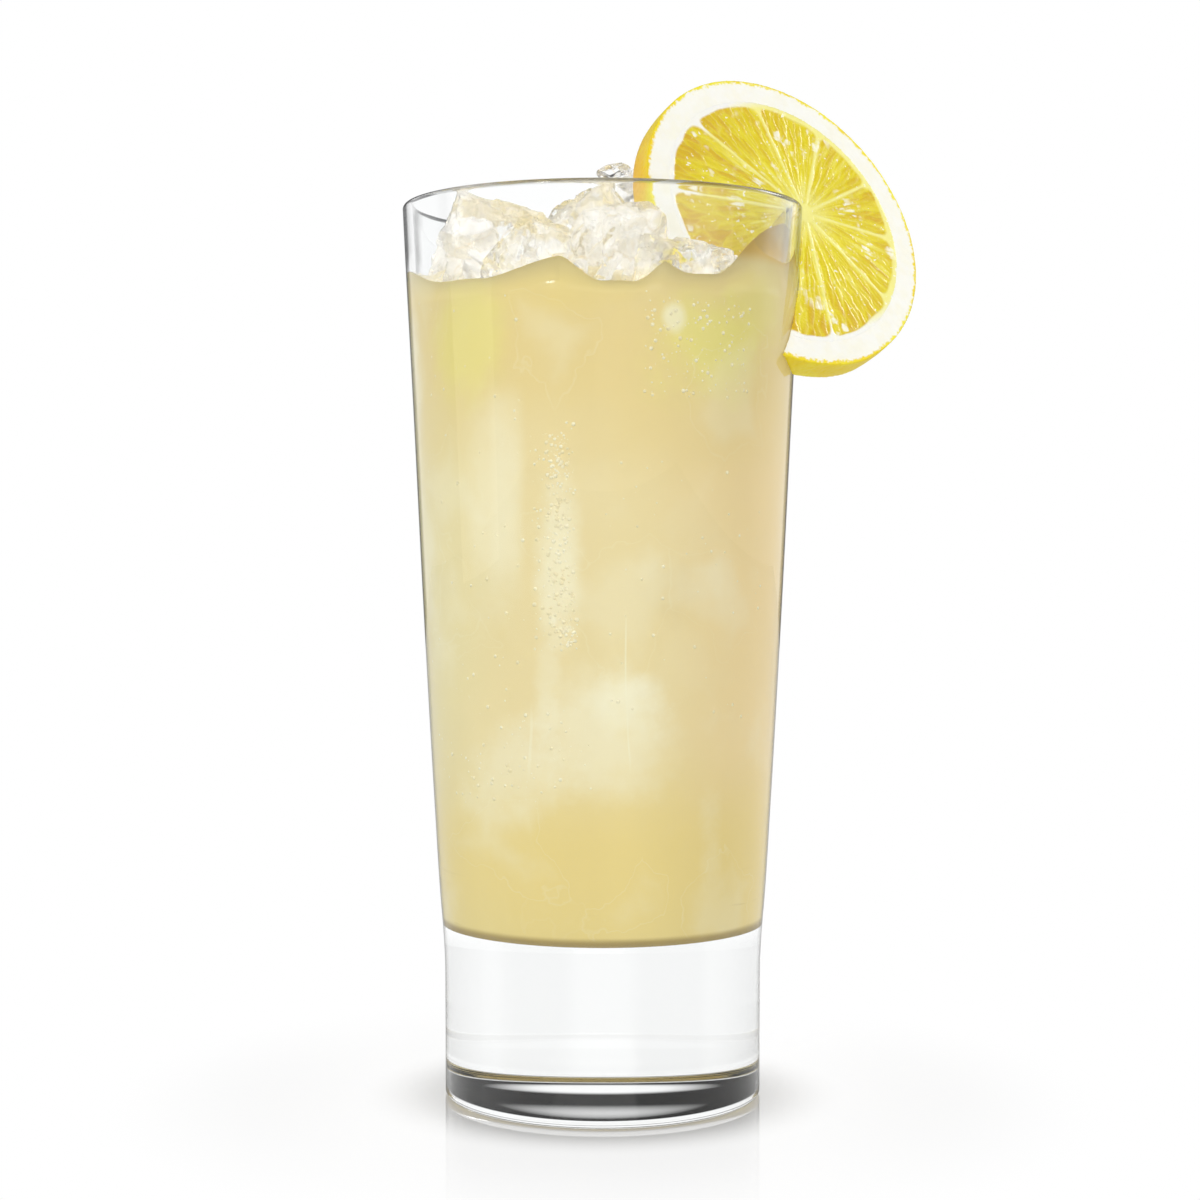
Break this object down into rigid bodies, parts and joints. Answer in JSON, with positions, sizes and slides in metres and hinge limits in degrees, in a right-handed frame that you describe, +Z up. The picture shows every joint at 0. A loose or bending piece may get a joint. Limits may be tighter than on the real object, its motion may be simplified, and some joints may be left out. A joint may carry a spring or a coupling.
{
  "type": "glass of iced lemon fizz",
  "caption": "Tall flared drinking glass with a thick clear base, filled with pale straw-coloured fizz, ice lumps standing out of the drink and a lemon slice hung on the rim.",
  "frame": {"origin": "centre of the glass's foot, on the surface that it stands on", "axes": "+Z up along the glass's axis; +X towards the rim where the lemon slice hangs; the slice's cut face looks towards -Y"},
  "size_m": [0.0975, 0.074, 0.1906],
  "materials": {
    "glass": "clear, polished",
    "drink": "cloudy pale straw liquid, wet",
    "ice": "clear to milky, wet",
    "lemon_pulp": "wet pulp with pale membranes",
    "lemon_rind": "waxy dimpled peel over white pith"
  },
  "bodies": {
    "root": {"glass": "glass", "drink": "drink", "lemon_slice": "lemon_pulp", "ice_left": "ice", "ice_front_left": "ice", "ice_front": "ice", "ice_right": "ice", "ice_middle": "ice", "ice_peak": "ice", "ice_back": "ice", "ice_back_right": "ice"}
  },
  "joints": []
}
